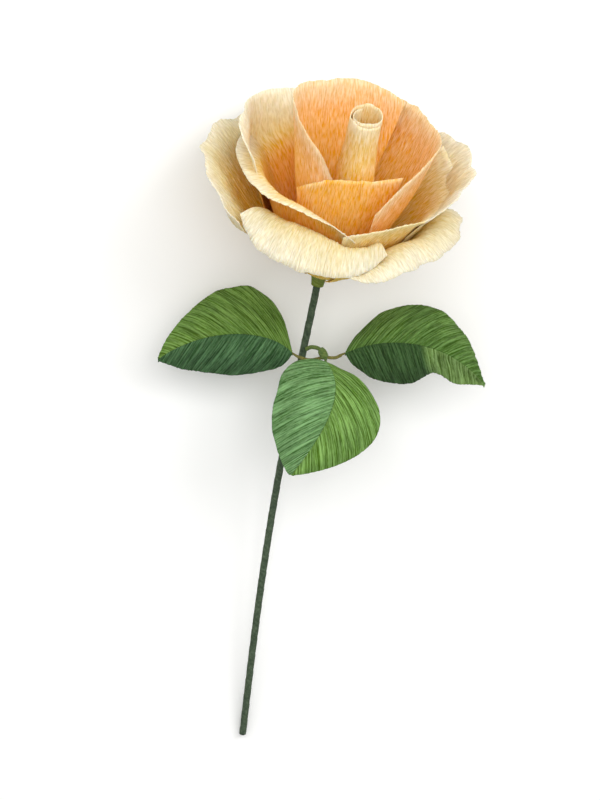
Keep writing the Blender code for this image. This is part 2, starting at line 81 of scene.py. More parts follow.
# colour and material helpers
def linear(text):
    parts = [int(text[k:k + 2], 16) / 255 for k in (1, 3, 5)]
    return [p / 12.92 if p <= 0.04045 else ((p + 0.055) / 1.055) ** 2.4 for p in parts]


def node(tree, kind, settings=None, links=None):
    made = tree.nodes.new(kind)
    for name, value in (settings or {}).items():
        if isinstance(name, int) or name in made.inputs:
            made.inputs[name].default_value = value
        else:
            setattr(made, name, value)
    for name, source in (links or {}).items():
        tree.links.new(source, made.inputs[name])
    return made


def newMaterial(name):
    made = bpy.data.materials.new(name)
    made.use_nodes = True
    return made, made.node_tree, made.node_tree.nodes["Principled BSDF"]


# crepe paper: soft and matt, crinkled along one way, a little light comes through the sheet; the crinkle's
# valleys are painted darker as shade and its crests paler as light
def crepeMaterial(name, look):
    made, tree, shader = newMaterial(name)
    dyeAndShade = node(tree, "ShaderNodeVertexColor", {"layer_name": "dyeAndShade"})
    place = node(tree, "ShaderNodeUVMap", {"uv_map": "grain"})  # millimetres across and along the grain
    ridge = look["ridge"]
    long = node(tree, "ShaderNodeMapping", {"Scale": (1 / ridge, 1 / look["run"], 1)},
                {"Vector": place.outputs[0]})
    ribs = node(tree, "ShaderNodeTexNoise", {"Scale": 1.0, "Detail": 2.0, "Roughness": 0.5},
                {"Vector": long.outputs[0]})
    short = node(tree, "ShaderNodeMapping", {"Scale": (2.4 / ridge, 1 / 2.6, 1)},
                 {"Vector": place.outputs[0]})
    fine = node(tree, "ShaderNodeTexNoise", {"Scale": 1.0, "Detail": 4.0, "Roughness": 0.6},
                {"Vector": short.outputs[0]})
    both = node(tree, "ShaderNodeMath", {"operation": "MULTIPLY_ADD", 1: 0.6},
                {0: fine.outputs[0], 2: ribs.outputs[0]})
    middle, spread = 0.8, look["spread"]  # the middle is what both noises come to on average
    share = node(tree, "ShaderNodeMapRange", {"From Min": middle - spread, "From Max": middle + spread},
                 {"Value": both.outputs[0]})
    # painted shade in the valleys between the crinkles, darker and richer, and painted light on the crests,
    # paler
    shadedValley = node(tree, "ShaderNodeHueSaturation", {"Saturation": look["valleyShadeSaturation"], "Value": look["dark"]},
                  {"Color": dyeAndShade.outputs[0]})
    crest = node(tree, "ShaderNodeHueSaturation", {"Saturation": look["crestLightSaturation"], "Value": look["pale"]},
                 {"Color": dyeAndShade.outputs[0]})
    mix = node(tree, "ShaderNodeMix", {"data_type": "RGBA"},
               {0: share.outputs[0], 6: shadedValley.outputs[0], 7: crest.outputs[0]})
    bump = node(tree, "ShaderNodeBump", {"Strength": look["bump"], "Distance": 0.5 * mm},
                {"Height": both.outputs[0]})
    tree.links.new(mix.outputs[2], shader.inputs["Base Color"])
    tree.links.new(bump.outputs[0], shader.inputs["Normal"])
    shader.inputs["Roughness"].default_value = 0.9
    shader.inputs["Specular IOR Level"].default_value = look["shine"]
    shader.inputs["Subsurface Weight"].default_value = look["glow"]
    shader.inputs["Subsurface Radius"].default_value = (1.0, 0.7, 0.4)
    shader.inputs["Subsurface Scale"].default_value = 1.4 * mm
    return made


# thin stretched sheet: pale crests and richer valleys as painted light and painted shade, glows where light
# comes through
petalPaper = crepeMaterial("crepe paper petal, stretched", {
    "ridge": 0.72, "run": 5.0, "spread": 0.15, "valleyShadeSaturation": 1.22, "dark": 0.86, "crestLightSaturation": 0.86, "pale": 1.06,
    "bump": 1.0, "shine": 0.1, "glow": 0.4})
# two sheets glued, heavier ribs that run out from the midrib, with strong painted shade in their valleys and
# painted light on their crests
leafPaper = crepeMaterial("crepe paper leaf, doubled", {
    "ridge": 0.95, "run": 22.0, "spread": 0.16, "valleyShadeSaturation": 1.15, "dark": 0.45, "crestLightSaturation": 0.85, "pale": 1.48,
    "bump": 1.0, "shine": 0.25, "glow": 0.05})
# waxed paper tape, stretched as it is wound, with painted shade in its crinkles and painted light on their
# crests
tapePaper = crepeMaterial("florist tape over wire", {
    "ridge": 0.8, "run": 6.0, "spread": 0.2, "valleyShadeSaturation": 1.1, "dark": 0.7, "crestLightSaturation": 0.85, "pale": 1.3,
    "bump": 0.6, "shine": 0.5, "glow": 0.0})

steelWire, _, steelShader = newMaterial("cut steel wire")  # bright where it was cut
steelShader.inputs["Base Color"].default_value = (*linear("#8E8D88"), 1)
steelShader.inputs["Metallic"].default_value = 1.0
steelShader.inputs["Roughness"].default_value = 0.38


# surfaces, in the standing frame
def bloomPoint(radius, angle, height):
    across = bloomRight * (radius * math.sin(angle)) + bloomFront * (radius * math.cos(angle))
    return across + bloomUp * height


def cubic(points, t):
    a, b, c, d = (Vector(p) for p in points)
    s = 1 - t
    return a * s**3 + b * (3 * s * s * t) + c * (3 * s * t * t) + d * t**3


def smoothPath(points, t):
    count = len(points) - 1
    place = min(t * count, count - 1e-9)
    k = int(place)
    f = place - k
    a, b, c, d = [Vector(points[min(max(k + i, 0), count)]) for i in (-1, 0, 1, 2)]
    return 0.5 * (2 * b + (c - a) * f + (2 * a - 5 * b + 4 * c - d) * f**2 + (3 * b - a - 3 * c + d) * f**3)


def petalProfile(petal, u):
    side = petal["low"] if u < 0 else petal["high"]
    bend, fall = abs(u) ** 2, abs(u) ** petal["roundness"]
    points = []
    for part in range(3):
        blend = fall if part == 2 else bend
        points.append([(m + (e - m) * blend) * mm for m, e in zip(petal["middle"][part], side[part])])
    points[2][1] -= petal["cleft"] * mm * math.exp(-((u / petalForm["cleftWidth"]) ** 2))
    layer = petal["layer"]
    return [[seatRadius + layer * seatStep, seatHeight - layer * seatDrop]] + points


def petalNetPoint(petal, u, v):
    seat, belly, shoulder, rim = petalProfile(petal, u)
    curlRadius, curlTurn = petal["curl"]
    curlRadius *= mm
    turn = math.radians(curlTurn) * (1 - 0.5 * abs(u) ** 3)
    length = math.hypot(rim[0] - belly[0], rim[1] - belly[1]) + belly[0]
    curlShare = min(petalForm["curlMost"], abs(turn) * curlRadius / length)
    body = 1 - curlShare
    controls = [(p[0], p[1], 0) for p in (seat, belly, shoulder, rim)]
    if v <= body:
        place = cubic(controls, v / body)
    else:
        done = (v - body) / curlShare * turn
        ahead = (Vector(controls[3]) - Vector(controls[2])).normalized()
        out = Vector((ahead.y, -ahead.x, 0))
        place = Vector(controls[3]) + curlRadius * (math.sin(done) * ahead + (1 - math.cos(done)) * out)
    size, count, phase = petal["wave"]
    ripple = size * mm * math.sin(2 * math.pi * (count * u + phase)) * v**3
    seatSpread, rimSpread = petal["spread"]
    spread = seatSpread + (rimSpread - seatSpread) * v * (2 - v)
    angle = math.radians(petal["angle"] + spread * u)
    return bloomPoint(place.x + ripple, angle, place.y + petalForm["rippleRise"] * ripple)


def rollNetPoint(u, v):
    height = rollSize["foot"] + (rollSize["top"] - rollSize["foot"]) * v
    seat = seatRadius + clearance
    belly = seat + (rollSize["belly"] - seat) * math.sin(math.pi / 2 * min(1, v / rollSize["bellyBy"]))
    narrow = max(0.0, (v - rollSize["bellyBy"]) / (1 - rollSize["bellyBy"]))
    radius = belly + (rollSize["mouth"] - rollSize["belly"]) * narrow * narrow * (3 - 2 * narrow)
    angle = rollSize["end"] - 2 * math.pi * rollSize["turns"] * (1 - u)
    radius += rollSize["pitch"] * rollSize["turns"] * u
    lean = rollSize["lean"] * math.sin(math.pi / 2 * min(1, v / rollSize["leanBy"])) ** 2
    edge = rollSize["edge"] * math.sin(math.pi * u) * v**4
    cut = rollSize["slope"] * radius * math.cos(angle) * v**4
    return bloomPoint(radius, angle, height + edge - cut) + bloomRight * lean


def netOf(columns, rows, place):
    return np.array([[place(i / columns, j / rows)[:] for i in range(columns + 1)] for j in range(rows + 1)])


def netFaces(shape, first=0):
    rows, columns = shape[0], shape[1]
    corners = [first + j * columns + i for j in range(rows - 1) for i in range(columns - 1)]
    return [(a, a + 1, a + 1 + columns, a + columns) for a in corners]


def ease(need):
    move = need.copy()
    for _ in range(push["passes"]):
        wide = np.pad(move, 1, mode="edge")
        mean = (wide[:-2, 1:-1] + wide[2:, 1:-1] + wide[1:-1, :-2] + wide[1:-1, 2:]) / 4
        move = np.maximum(need, (move + mean) / 2)
    return move


def outwardWay(here, slope):
    flat = here - bloomUp * here.dot(bloomUp)
    return flat.normalized() * math.cos(slope) - bloomUp * math.sin(slope)


# each petal is pushed out and down until it clears the petals inside it, as it was glued on
def pushOutward(points, placed):
    corners, faces = [], []
    for other in placed:
        faces += netFaces(other.shape, len(corners))
        corners += [Vector(p) for p in other.reshape(-1, 3)]
    tree = BVHTree.FromPolygons(corners, faces)
    rows, columns = points.shape[0], points.shape[1]
    ways, need = np.zeros_like(points), np.zeros((rows, columns))
    for j in range(rows):
        for i in range(columns):
            here = Vector(points[j, i])
            way = outwardWay(here, push["angle"] * min(1, 1.4 * j / (rows - 1)))
            ways[j, i] = way
            hit = tree.ray_cast(here + way * push["reach"], -way, push["reach"] + push["room"])
            if hit[0] is not None:
                room = sheetPitch + (push["room"] - sheetPitch) * min(1, 2 * j / (rows - 1))
                need[j, i] = max(0.0, push["reach"] - hit[3] + room)
    move = ease(need)
    for turn in range(push["rounds"]):
        pushed = points + ways * move[:, :, None]
        ownPoints = [Vector(p) for p in pushed.reshape(-1, 3)]
        own = BVHTree.FromPolygons(ownPoints, netFaces(pushed.shape))
        wanted = []
        if turn < push["rounds"] - push["clearRounds"]:
            for there in corners:
                way = outwardWay(there, push["angle"])
                hit = own.ray_cast(there + way * push["room"], -way, push["room"] + push["back"])
                if hit[0] is not None and hit[2] >= push["firmRows"] * (columns - 1):
                    wanted.append((hit[2], 0.7 * hit[3]))
        for there in corners:
            near = own.find_nearest(there, sheetPitch)
            if near[0] is not None:
                wanted.append((near[2], sheetPitch - near[3]))
        wanted += [(index, sheetPitch) for index, other in own.overlap(tree)]
        for index, more in wanted:
            j, i = divmod(index, columns - 1)
            block = (slice(j, j + 2), slice(i, i + 2))
            need[block] = np.maximum(need[block], move[block] + more)
        for k, here in enumerate(ownPoints):
            near = tree.find_nearest(here, sheetPitch)
            if near[0] is not None:
                j, i = divmod(k, columns)
                need[j, i] = max(need[j, i], move[j, i] + sheetPitch - near[3])
        move = ease(need)
    return points + ways * move[:, :, None]


# smooth curves through the points of a net, as a dense net
def curveWeights(count, dense):
    weights = np.zeros((dense, count))
    for k, place in enumerate(np.linspace(0, count - 1, dense)):
        i = min(int(place), count - 2)
        f = place - i
        spline = (-0.5 * f + f * f - 0.5 * f**3, 1 - 2.5 * f * f + 1.5 * f**3,
                  0.5 * f + 2 * f * f - 1.5 * f**3, -0.5 * f * f + 0.5 * f**3)
        for step, share in zip((-1, 0, 1, 2), spline):
            at = i + step
            if at < 0:
                weights[k, 0] += 2 * share
                weights[k, 1] -= share
            elif at >= count:
                weights[k, count - 1] += 2 * share
                weights[k, count - 2] -= share
            else:
                weights[k, at] += share
    return weights


def denseNet(points, columns, rows):
    upWeights, acrossWeights = curveWeights(points.shape[0], rows), curveWeights(points.shape[1], columns)
    return np.einsum("jr,ic,rcx->jix", upWeights, acrossWeights, points)


def netNormals(points):
    across, along = np.gradient(points, axis=1), np.gradient(points, axis=0)
    normals = np.cross(across, along)
    return normals / np.maximum(np.linalg.norm(normals, axis=2, keepdims=True), 1e-12)


def lattice(seed, x, y):
    table = np.random.default_rng(seed).uniform(-1, 1, (256, 256))
    xi, yi = np.floor(x).astype(int), np.floor(y).astype(int)
    fx, fy = x - xi, y - yi
    fx, fy = fx * fx * (3 - 2 * fx), fy * fy * (3 - 2 * fy)
    low = table[xi % 256, yi % 256] * (1 - fx) + table[(xi + 1) % 256, yi % 256] * fx
    high = table[xi % 256, (yi + 1) % 256] * (1 - fx) + table[(xi + 1) % 256, (yi + 1) % 256] * fx
    return low * (1 - fy) + high * fy


# the raised lines of the crepe, from millimetres across and along the grain
crepeLines = {"wander": 0.5, "wanderAcross": 6, "wanderAlong": 4, "bold": 1.9, "boldRun": 8, "broken": 3.0,
              "brokenRun": 3, "boldShare": 0.6}


def crepeRelief(seed, across, along, pitch):
    wander = lattice(seed + 2, across / crepeLines["wanderAcross"], along / crepeLines["wanderAlong"])
    place = (across + crepeLines["wander"] * wander) / pitch
    bold = lattice(seed, place * crepeLines["bold"], along / crepeLines["boldRun"])
    broken = lattice(seed + 1, place * crepeLines["broken"], along / crepeLines["brokenRun"])
    return crepeLines["boldShare"] * bold + (1 - crepeLines["boldShare"]) * broken


def toGround(points):
    turned = points @ np.array(layTurn).T
    return turned + np.array(layShift)


def dyeAt(stops, share):
    places = [s[0] for s in stops]
    shades = np.array([linear(s[1]) for s in stops])
    return np.stack([np.interp(share, places, shades[:, k]) for k in range(3)], axis=-1)


def sheetObject(name, points, dyeAndShade, grain, material, thickness=paperLook):
    rows, columns = points.shape[0], points.shape[1]
    shape = bmesh.new()
    bmesh.ops.create_grid(shape, x_segments=columns - 1, y_segments=rows - 1, size=1)
    shape.verts.ensure_lookup_table()
    order = np.zeros(len(shape.verts), dtype=int)
    for vertex in shape.verts:
        i = round((vertex.co.x + 1) / 2 * (columns - 1))
        j = round((vertex.co.y + 1) / 2 * (rows - 1))
        order[vertex.index] = j * columns + i
    laid = toGround(points).reshape(-1, 3)[order]
    for vertex, place in zip(shape.verts, laid):
        vertex.co = place
    mesh = bpy.data.meshes.new(name)
    shape.to_mesh(mesh)
    shape.free()
    mesh.shade_smooth()
    corner = np.zeros(len(mesh.loops), dtype=int)
    mesh.loops.foreach_get("vertex_index", corner)
    uv = mesh.uv_layers.new(name="grain")
    uv.data.foreach_set("uv", grain.reshape(-1, 2)[order][corner].ravel())
    # the colour layer holds the paper's dye together with the painted light and painted shade put into the
    # sheet colours
    paint = mesh.color_attributes.new("dyeAndShade", "FLOAT_COLOR", "POINT")
    shades = np.concatenate([dyeAndShade.reshape(-1, 3)[order], np.ones((len(order), 1))], axis=1)
    paint.data.foreach_set("color", shades.ravel())
    mesh.materials.append(material)
    made = bpy.data.objects.new(name, mesh)
    bpy.context.scene.collection.objects.link(made)
    solid = made.modifiers.new("thickness", "SOLIDIFY")
    solid.thickness = thickness
    solid.offset = 0
    solid.use_even_offset = False
    return made


def declare(made, *nodes, slotName):
    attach(made, "root")
    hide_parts(*nodes)


# petals from the innermost to the outermost: angles from the front toward the right, profiles in millimetres
petals = (
    {
        "name": "petal_inner_back_left", "layer": 0, "angle": 243, "spread": (70, 106), "colour": "peach",
        "low": ((15, 14), (28, 52), (34, 86)),
        "middle": ((13, 14), (22, 58), (26, 90)),
        "high": ((7, 16), (12, 38), (12.5, 60)),
        "cleft": 0.0, "roundness": 3.2, "curl": (5.0, 12), "wave": (0.8, 1.5, 0.2),
    },
    {
        "name": "petal_inner_front", "layer": 1, "angle": 8, "spread": (38, 64), "colour": "peach",
        "low": ((12, 12), (19, 32), (21, 52)),
        "middle": ((12, 12), (16, 40), (16, 63)),
        "high": ((14, 12), (25, 42), (30, 66.5)),
        "cleft": 0.0, "roundness": 1.8, "curl": (3.0, 8), "wave": (0.3, 1.0, 0.0),
    },
    {
        "name": "petal_inner_back_right", "layer": 2, "angle": 102, "spread": (52, 68), "colour": "peach",
        "low": ((20, 14), (31, 34), (34, 55)),
        "middle": ((20, 14), (34, 46), (41, 81)),
        "high": ((19, 14), (32, 50), (36, 79)),
        "cleft": 0.0, "roundness": 2.6, "curl": (5.0, 15), "wave": (0.8, 1.2, 0.5),
    },
    {
        "name": "petal_middle_left", "layer": 3, "angle": 307, "spread": (46, 71), "colour": "gold",
        "low": ((20, 14), (30, 34), (48, 53)),
        "middle": ((19, 14), (32, 42), (34, 58)),
        "high": ((18, 14), (33, 30), (38, 46)),
        "cleft": 0.0, "roundness": 3.6, "curl": (3.2, 120), "wave": (0.6, 1.3, 0.1),
    },
    {
        "name": "petal_middle_back_left", "layer": 4, "angle": 236, "spread": (42, 56), "colour": "gold",
        "low": ((24, 12), (34, 46), (41, 66)),
        "middle": ((25, 12), (34, 50), (41, 72)),
        "high": ((23, 12), (34, 40), (40, 62)),
        "cleft": 0.0, "roundness": 2.8, "curl": (8.0, 62), "wave": (1.0, 1.4, 0.3),
    },
    {
        "name": "petal_middle_right", "layer": 3, "angle": 64, "spread": (42, 54), "colour": "gold",
        "low": ((21, 14), (36, 30), (41, 47)),
        "middle": ((23, 14), (39, 36), (47, 57)),
        "high": ((24, 12), (38, 44), (48, 67)),
        "cleft": 0.0, "roundness": 2.6, "curl": (7.0, 40), "wave": (0.8, 1.2, 0.6),
    },
    {
        "name": "petal_outer_front", "layer": 4, "angle": 352, "spread": (32, 39), "colour": "cream",
        "low": ((27, 14), (30, 58), (53, 49)),
        "middle": ((26, 14), (25, 71), (56, 40)),
        "high": ((27, 14), (28, 62), (52, 49)),
        "cleft": 0.8, "roundness": 3.4, "curl": (8.0, 18), "wave": (1.0, 3.0, 0.4),
    },
    {
        "name": "petal_outer_right", "layer": 4, "angle": 96, "spread": (38, 42), "colour": "cream",
        "low": ((27, 12), (40, 46), (53, 60)),
        "middle": ((27, 12), (42, 56), (56, 70)),
        "high": ((27, 12), (40, 46), (49, 62)),
        "cleft": 0.0, "roundness": 2.8, "curl": (8.0, 24), "wave": (1.0, 2.0, 0.7),
    },
    {
        "name": "petal_outer_left", "layer": 5, "angle": 272, "spread": (37, 47), "colour": "cream",
        "low": ((27, 12), (46, 44), (57, 53)),
        "middle": ((28, 12), (46, 46), (60, 58)),
        "high": ((27, 14), (40, 44), (55, 52)),
        "cleft": 1.2, "roundness": 2.6, "curl": (9.0, 22), "wave": (1.2, 2.2, 0.2),
    },
    {
        "name": "petal_outer_front_right", "layer": 5, "angle": 54, "spread": (34, 40), "colour": "cream",
        "low": ((27, 14), (31, 54), (51, 45)),
        "middle": ((28, 14), (34, 62), (60, 46.5)),
        "high": ((28, 14), (38, 50), (54, 48)),
        "cleft": 1.2, "roundness": 3.2, "curl": (9.0, 14), "wave": (1.0, 2.6, 0.1),
    },
    {
        "name": "petal_outer_back_left", "layer": 6, "angle": 211, "spread": (34, 42), "colour": "cream",
        "low": ((28, 10), (44, 36), (54, 44)),
        "middle": ((30, 10), (48, 38), (58, 52)),
        "high": ((28, 10), (44, 36), (54, 44)),
        "cleft": 1.0, "roundness": 2.6, "curl": (9.0, 20), "wave": (0.5, 1.6, 0.3),
    },
    {
        "name": "petal_outer_back_right", "layer": 7, "angle": 149, "spread": (34, 42), "colour": "cream",
        "low": ((26, 10), (40, 36), (50, 44)),
        "middle": ((28, 10), (42, 38), (53, 52)),
        "high": ((26, 10), (40, 36), (50, 44)),
        "cleft": 1.0, "roundness": 2.6, "curl": (9.0, 20), "wave": (0.5, 1.6, 0.8),
    },
)

# shades from the seat of a petal to its rim
petalDyes = {
    "peach": ((0.0, "#FFC048"), (0.3, "#FFBC42"), (0.5, "#FFBE4A"), (0.7, "#FFC066"),
              (0.88, "#F6BC80"), (1.0, "#F5D4AA")),
    "apricot": ((0.0, "#FFBA3C"), (0.5, "#FFBE48"), (0.8, "#FFBE56"), (0.96, "#FBBE60"),
                (1.0, "#FACE8E")),
    "gold": ((0.0, "#FFB824"), (0.5, "#FFAA06"), (0.76, "#FFB01A"), (0.85, "#F8C868"),
             (0.92, "#F1DAAA"), (1.0, "#F2E4C8")),
    "straw": ((0.0, "#FFAC28"), (0.45, "#FF9E0C"), (0.64, "#FFAA28"), (0.77, "#F8DA98"),
              (0.88, "#F8ECCC"), (1.0, "#F6EDD4")),
    "amber": ((0.0, "#FFD070"), (0.5, "#FFCE66"), (0.75, "#FDD076"), (0.9, "#F9DEA0"),
              (1.0, "#F7E7BE")),
    "cream": ((0.0, "#FFCE60"), (0.3, "#FFCC60"), (0.5, "#FCCE68"), (0.66, "#F2D086"),
              (0.85, "#E6D4A8"), (1.0, "#EADFC6")),
    "roll": ((0.0, "#FFAC38"), (0.4, "#FFBA58"), (0.65, "#FBC672"), (0.9, "#F5CE90"),
             (1.0, "#F5E0BA")),
}
ownDyes = {"petal_middle_back_left": "straw", "petal_middle_right": "amber", "petal_inner_front": "apricot"}

nets = {"centre_roll": netOf(netSize["around"], netSize["up"], rollNetPoint)}
for petal in petals:
    points = netOf(netSize["across"], netSize["along"], lambda a, b: petalNetPoint(petal, 2 * a - 1, b))
    nets[petal["name"]] = pushOutward(points, list(nets.values()))
print("petals nested")

petalLook = {"columns": 360, "rows": 31, "pitch": 1.5, "frill": 0.6 * mm, "frillFrom": 0.9, "flareFrom": 0.76,
             "swell": 0.5 * mm, "gather": (0.4, 1.0), "seed": 10, "seedStep": 5,
             "relief": {"peach": 0.32 * mm, "gold": 0.36 * mm, "cream": 0.5 * mm}}
# how far each rim is turned out: out and down in millimetres, where along the rim, and how wide
petalFlares = {"petal_middle_left": (7.0, 2.2, -0.4, 1.3), "petal_inner_back_left": (1.5, 0.3, -0.6, 0.8),
               "petal_middle_right": (2.5, 0.8, 0.4, 1.0)}


def dressSheet(name, look, seed, dyeName, relief):
    columns, rows, pitch, widths = look["columns"], look["rows"], look["pitch"], look["gather"]
    points = denseNet(nets[name], columns, rows)
    u = np.linspace(-1, 1, columns)[None, :] * np.ones((rows, 1))
    v = np.linspace(0, 1, rows)[:, None] * np.ones((1, columns))
    if name in petalFlares:
        out, down, where, wide = petalFlares[name]
        turned = np.clip((v - petalLook["flareFrom"]) / (1 - petalLook["flareFrom"]), 0, 1) ** 1.5
        turned = turned * np.exp(-(((u - where) / wide) ** 2)) * mm
        axis = np.array(bloomUp)
        flat = points - (points @ axis)[:, :, None] * axis
        flat /= np.maximum(np.linalg.norm(flat, axis=2, keepdims=True), 1e-9)
        points = points + flat * (out * turned)[:, :, None] - axis * (down * turned)[:, :, None]
    steps = np.linalg.norm(np.diff(points, axis=0), axis=2)
    along = np.concatenate([np.zeros((1, columns)), np.cumsum(steps, axis=0)], axis=0) / mm
    width = np.linalg.norm(np.diff(points, axis=1), axis=2).sum(axis=1).max() / mm
    gather = widths[0] + (widths[1] - widths[0]) * v**0.8
    across = u * gather * width / 2 + 60
    crest = crepeRelief(seed, across, along, pitch)
    normals = netNormals(points)
    slow = lattice(seed + 7, u * 3 + 9, v * 3)
    swell = petalLook["swell"] * lattice(seed + 8, u * 5 + 9, v * 4 + 3) * v * v
    points = points + normals * (crest * relief * (0.45 + 0.55 * v) + swell)[:, :, None]
    outward = np.gradient(points, axis=0)
    outward /= np.maximum(np.linalg.norm(outward, axis=2, keepdims=True), 1e-12)
    coarse, fine = lattice(seed + 3, across / 4.5, across * 0), lattice(seed + 4, across / 1.1, across * 0)
    frill = petalLook["frill"] * (0.7 * coarse + 0.3 * fine)
    frill = frill * np.clip((v - petalLook["frillFrom"]) / (1 - petalLook["frillFrom"]), 0, 1)
    points = points + outward * frill[:, :, None]
    shade = dyeAt(petalDyes[dyeName], np.clip(v + 0.05 * slow, 0, 1))
    # painted light on the raised crepe lines and painted shade between them
    shade = shade * (1 + 0.07 * crest[:, :, None])
    return points, np.clip(shade, 0, 1), np.stack([across, along], axis=-1)


for place, petal in enumerate(petals):
    seed = petalLook["seed"] + petalLook["seedStep"] * place
    dyeName, relief = ownDyes.get(petal["name"], petal["colour"]), petalLook["relief"][petal["colour"]]
    points, shade, grain = dressSheet(petal["name"], petalLook, seed, dyeName, relief)
    made = sheetObject("paper_" + petal["name"], points, shade, grain, petalPaper)
    declare(made, petal["name"], slotName=petal["colour"])
print("petals dressed")

rollLook = {"columns": 300, "rows": 50, "relief": 0.16 * mm, "pitch": 1.3, "gather": (1.0, 1.0), "seed": 5}
points, shade, grain = dressSheet("centre_roll", rollLook, rollLook["seed"], "roll", rollLook["relief"])
made = sheetObject("paper_centre_roll", points, shade, grain, petalPaper)
declare(made, "centre_roll", slotName="peach")
print("centre rolled")

# leaves: edges and midribs as cubic curves in millimetres
leaves = (
    {
        "name": "leaf_left", "base": (-12.5, -35.2, -10.5), "tip": (-75.6, -38.1, -15),
        "midrib": ((-22, -24, -6), (-52, -22, -2)),
        "upper": ((-20, 13, -22), (-58, 2, -22)),
        "lower": ((-20, -50, -20), (-58, -46, -20)),
        "puff": (3.0, 3.0), "dent": (0.0, 0.5),
        "names": ("upper", "lower"),
    },
    {
        "name": "leaf_right", "base": (12.4, -35.3, -9.5), "tip": (78.1, -50.5, -18),
        "midrib": ((30, -27, -2), (60, -28, 0)),
        "upper": ((26, -6, -18), (69, 2, -20)),
        "lower": ((22, -55, -18), (52, -49, -16)),
        "puff": (3.5, 2.5), "dent": (5.5, 0.70),
        "names": ("upper", "lower"),
    },
    {
        "name": "leaf_front", "base": (3.4, -39.5, -6.5), "tip": (-13, -92, 6),
        "midrib": ((12, -50, 6), (8, -66, 14)),
        "upper": ((-26, -29, -2), (-27, -80, 2)),
        "lower": ((24, -44, 0), (54, -84, 0)),
        "puff": (2.5, 3.0), "dent": (0.0, 0.5),
        "names": ("left", "right"),
    },
)
leafLook = {"columns": 210, "rows": 40, "relief": 0.34 * mm, "pitch": 1.8, "seam": 0.08 * mm,
            "ribDepth": 1.35 * mm, "edge": 0.6 * mm, "swell": 0.8 * mm, "endWidth": 1.2, "dentWidth": 0.09}
leafSeeds = {"crepe": 200, "shade": 300, "edge": 400, "swell": 450, "step": 10}
# the right leaf's lower half is turned over near its tip, and there it is painted in a paler, lit green as
# painted light instead of the lower half's painted shade
foldedTip = {"half": ("leaf_right", 1), "start": 0.53, "slope": 0.13, "soft": 0.05, "dyeAndShade": "#6C8E44",
             "lift": 1.6 * mm}
# how far the grain runs toward the tip as it goes out from the midrib
leafSlants = {"leaf_left": (1.25, 0.75), "leaf_right": (1.25, 0.8), "leaf_front": (0.7, 1.6)}
# greens for each leaf half, from dark to pale; the lower halves of the left and right leaves are painted
# darker as painted shade
leafDyesAndShade = {
    ("leaf_left", 0): ("#4E7520", "#64882F"), ("leaf_left", 1): ("#345A32", "#42683C"),
    ("leaf_right", 0): ("#446A22", "#56792E"), ("leaf_right", 1): ("#2C4C1E", "#38592A"),
    ("leaf_front", 0): ("#567F46", "#689658"), ("leaf_front", 1): ("#587F2E", "#6A943A"),
}


def leafSide(leaf):
    along, out = Vector(leaf["tip"]) - Vector(leaf["base"]), Vector(leaf["upper"][0]) - Vector(leaf["base"])
    return 1 if along.x * out.y - along.y * out.x > 0 else -1


def bladePoint(leaf, half, s, t):
    base, tip = leaf["base"], leaf["tip"]
    middle = cubic((base, *leaf["midrib"], tip), s)
    edge = cubic((base, *leaf[("upper", "lower")[half]], tip), s)
    size, where = leaf["dent"]
    if half == 1:
        edge.y += size * math.exp(-(((s - where) / leafLook["dentWidth"]) ** 2))
    across = edge - middle
    if across.length < leafLook["endWidth"]:
        sign = 1 if half == 0 else -1
        along = (Vector(tip) - Vector(base)).normalized()
        aside = Vector((0, 0, 1)).cross(along).normalized() * leafSide(leaf) * sign
        across = across + aside * (leafLook["endWidth"] - across.length)
    start = leafLook["seam"] / mm / 2 / across.length
    point = middle + across * (start + (1 - start) * t)
    point += Vector((0, 0, 1)) * leaf["puff"][half] * math.sin(math.pi * t) * math.sin(math.pi * s)
    return point * mm


